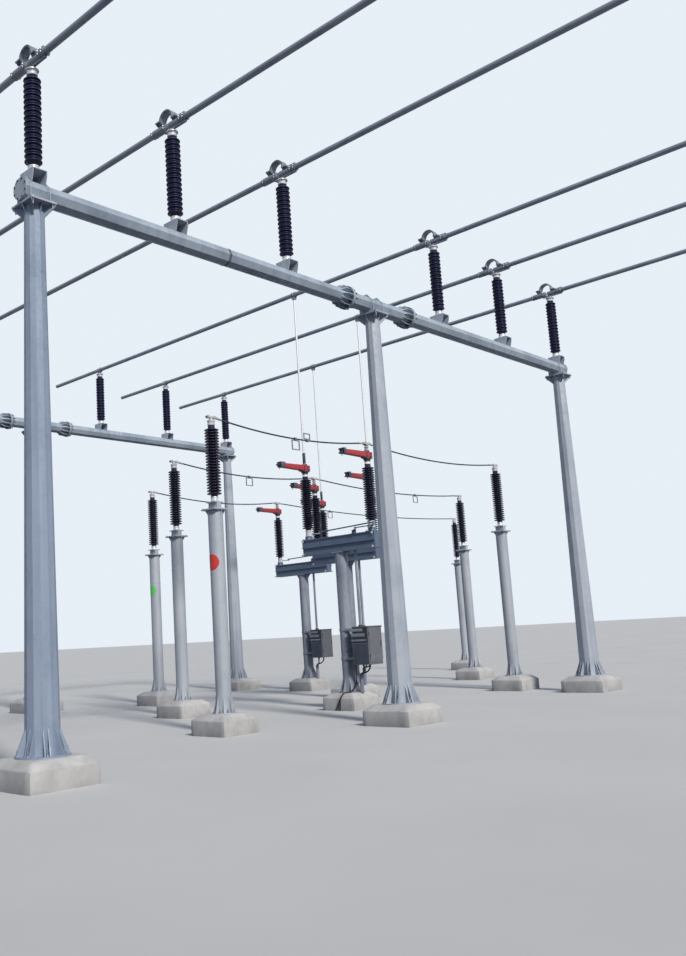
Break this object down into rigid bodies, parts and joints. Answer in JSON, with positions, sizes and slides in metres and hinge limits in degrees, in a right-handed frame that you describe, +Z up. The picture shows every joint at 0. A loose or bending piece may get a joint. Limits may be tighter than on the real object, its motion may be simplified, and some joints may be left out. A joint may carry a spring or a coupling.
{
  "type": "substation switchgear bay",
  "caption": "Outdoor substation bay: tubular steel portals carry busbars on post insulators, with centre-break disconnectors, feeder posts and conductors.",
  "frame": {"origin": "middle of the bay's footprint, at the undersides of the foundation blocks", "axes": "+Z up, +X along the portal beams towards the longer feeder spans, +Y along the busbars from the front portal to the rear portal"},
  "size_m": [25.34, 20, 9.7884],
  "materials": {
    "galvanised_steel": "weathered hot-dip galvanising, dull and mottled",
    "dark_steel": "dark blue-grey, weathered",
    "concrete": "light grey cast concrete, dusty",
    "porcelain": "near-black glaze",
    "bright_caps": "bright zinc-coated castings",
    "aluminium": "dull weathered aluminium",
    "stranded_aluminium": "dark weathered strands",
    "disc_paint": "flat phase-colour paint",
    "arm_paint": "red paint, slightly faded",
    "cabinet_paint": "mid-grey paint"
  },
  "bodies": {
    "bay": {"portal_foundations": "concrete", "post_foundations": "concrete", "disconnector_foundations": "concrete", "front_columns": "galvanised_steel", "rear_columns": "galvanised_steel", "front_beam_left": "galvanised_steel", "front_beam_middle": "galvanised_steel", "front_beam_right": "galvanised_steel", "rear_beam_left": "galvanised_steel", "rear_beam_middle": "galvanised_steel", "rear_beam_right": "galvanised_steel", "beam_saddles": "galvanised_steel", "insulator_pedestals": "galvanised_steel", "portal_insulators": "porcelain", "portal_insulator_caps": "bright_caps", "expansion_clamps": "aluminium", "expansion_loops": "aluminium", "busbar_clamps": "aluminium", "busbars_near": "aluminium", "busbars_main": "aluminium", "post_columns": "galvanised_steel", "post_heads": "galvanised_steel", "post_insulators": "porcelain", "post_insulator_caps": "bright_caps", "post_clamps": "aluminium", "phase_discs": "disc_paint", "conductors": "stranded_aluminium", "earthing_loops": "aluminium", "droppers": "aluminium", "dropper_clamps": "aluminium", "disconnector_columns": "galvanised_steel", "disconnector_beams": "dark_steel", "disconnector_bearings": "dark_steel", "drive_cabinets": "cabinet_paint", "terminals": "aluminium"},
    "pole_1_near": {"pole_1_near_insulator": "porcelain", "pole_1_near_arm": "arm_paint"},
    "pole_1_far": {"pole_1_far_insulator": "porcelain", "pole_1_far_arm": "arm_paint"},
    "pole_1_rods": {"pole_1_drive_rods": "dark_steel"},
    "pole_1_shaft": {"pole_1_drive_shaft": "galvanised_steel"},
    "pole_2_near": {"pole_2_near_insulator": "porcelain", "pole_2_near_arm": "arm_paint"},
    "pole_2_far": {"pole_2_far_insulator": "porcelain", "pole_2_far_arm": "arm_paint"},
    "pole_2_rods": {"pole_2_drive_rods": "dark_steel"},
    "pole_2_shaft": {"pole_2_drive_shaft": "galvanised_steel"},
    "pole_3_near": {"pole_3_near_insulator": "porcelain", "pole_3_near_arm": "arm_paint"},
    "pole_3_far": {"pole_3_far_insulator": "porcelain", "pole_3_far_arm": "arm_paint"},
    "pole_3_rods": {"pole_3_drive_rods": "dark_steel"},
    "pole_3_shaft": {"pole_3_drive_shaft": "galvanised_steel"}
  },
  "joints": [
    {"name": "pole_1_near_turn", "type": "hinge", "parent": "bay", "child": "pole_1_near", "pos_m": [-2.56, -1.69, 3.795], "axis": [0, 0, -1], "range_deg": [0, 90]},
    {"name": "pole_1_far_turn", "type": "hinge", "parent": "bay", "child": "pole_1_far", "pos_m": [-2.56, 0.11, 3.795], "axis": [0, 0, 1], "range_deg": [0, 90]},
    {"name": "pole_1_rods_swing", "type": "hinge", "parent": "pole_1_near", "child": "pole_1_rods", "pos_m": [-2.73678, -1.86678, 3.84], "axis": [0, 0, 1], "range_deg": [0, 90]},
    {"name": "pole_1_shaft_turn", "type": "hinge", "parent": "bay", "child": "pole_1_shaft", "pos_m": [-2.56, -1.19, 3.71], "axis": [0, 0, -1], "range_deg": [0, 90]},
    {"name": "pole_2_near_turn", "type": "hinge", "parent": "bay", "child": "pole_2_near", "pos_m": [-0.06, 0.2, 3.795], "axis": [0, 0, -1], "range_deg": [0, 90]},
    {"name": "pole_2_far_turn", "type": "hinge", "parent": "bay", "child": "pole_2_far", "pos_m": [-0.06, 2, 3.795], "axis": [0, 0, 1], "range_deg": [0, 90]},
    {"name": "pole_2_rods_swing", "type": "hinge", "parent": "pole_2_near", "child": "pole_2_rods", "pos_m": [-0.23678, 0.02322, 3.84], "axis": [0, 0, 1], "range_deg": [0, 90]},
    {"name": "pole_2_shaft_turn", "type": "hinge", "parent": "bay", "child": "pole_2_shaft", "pos_m": [-0.06, 0.7, 3.71], "axis": [0, 0, -1], "range_deg": [0, 90]},
    {"name": "pole_3_near_turn", "type": "hinge", "parent": "bay", "child": "pole_3_near", "pos_m": [2.44, 3.89, 3.795], "axis": [0, 0, -1], "range_deg": [0, 90]},
    {"name": "pole_3_far_turn", "type": "hinge", "parent": "bay", "child": "pole_3_far", "pos_m": [2.44, 5.69, 3.795], "axis": [0, 0, 1], "range_deg": [0, 90]},
    {"name": "pole_3_rods_swing", "type": "hinge", "parent": "pole_3_near", "child": "pole_3_rods", "pos_m": [2.26322, 3.71322, 3.84], "axis": [0, 0, 1], "range_deg": [0, 90]},
    {"name": "pole_3_shaft_turn", "type": "hinge", "parent": "bay", "child": "pole_3_shaft", "pos_m": [2.44, 4.39, 3.71], "axis": [0, 0, -1], "range_deg": [0, 90]}
  ],
  "couplings": [
    {"joint": "pole_1_far_turn", "follows": "pole_1_near_turn", "ratio": 1},
    {"joint": "pole_1_rods_swing", "follows": "pole_1_near_turn", "ratio": 1},
    {"joint": "pole_1_shaft_turn", "follows": "pole_1_near_turn", "ratio": 1},
    {"joint": "pole_2_far_turn", "follows": "pole_2_near_turn", "ratio": 1},
    {"joint": "pole_2_rods_swing", "follows": "pole_2_near_turn", "ratio": 1},
    {"joint": "pole_2_shaft_turn", "follows": "pole_2_near_turn", "ratio": 1},
    {"joint": "pole_3_far_turn", "follows": "pole_3_near_turn", "ratio": 1},
    {"joint": "pole_3_rods_swing", "follows": "pole_3_near_turn", "ratio": 1},
    {"joint": "pole_3_shaft_turn", "follows": "pole_3_near_turn", "ratio": 1}
  ]
}
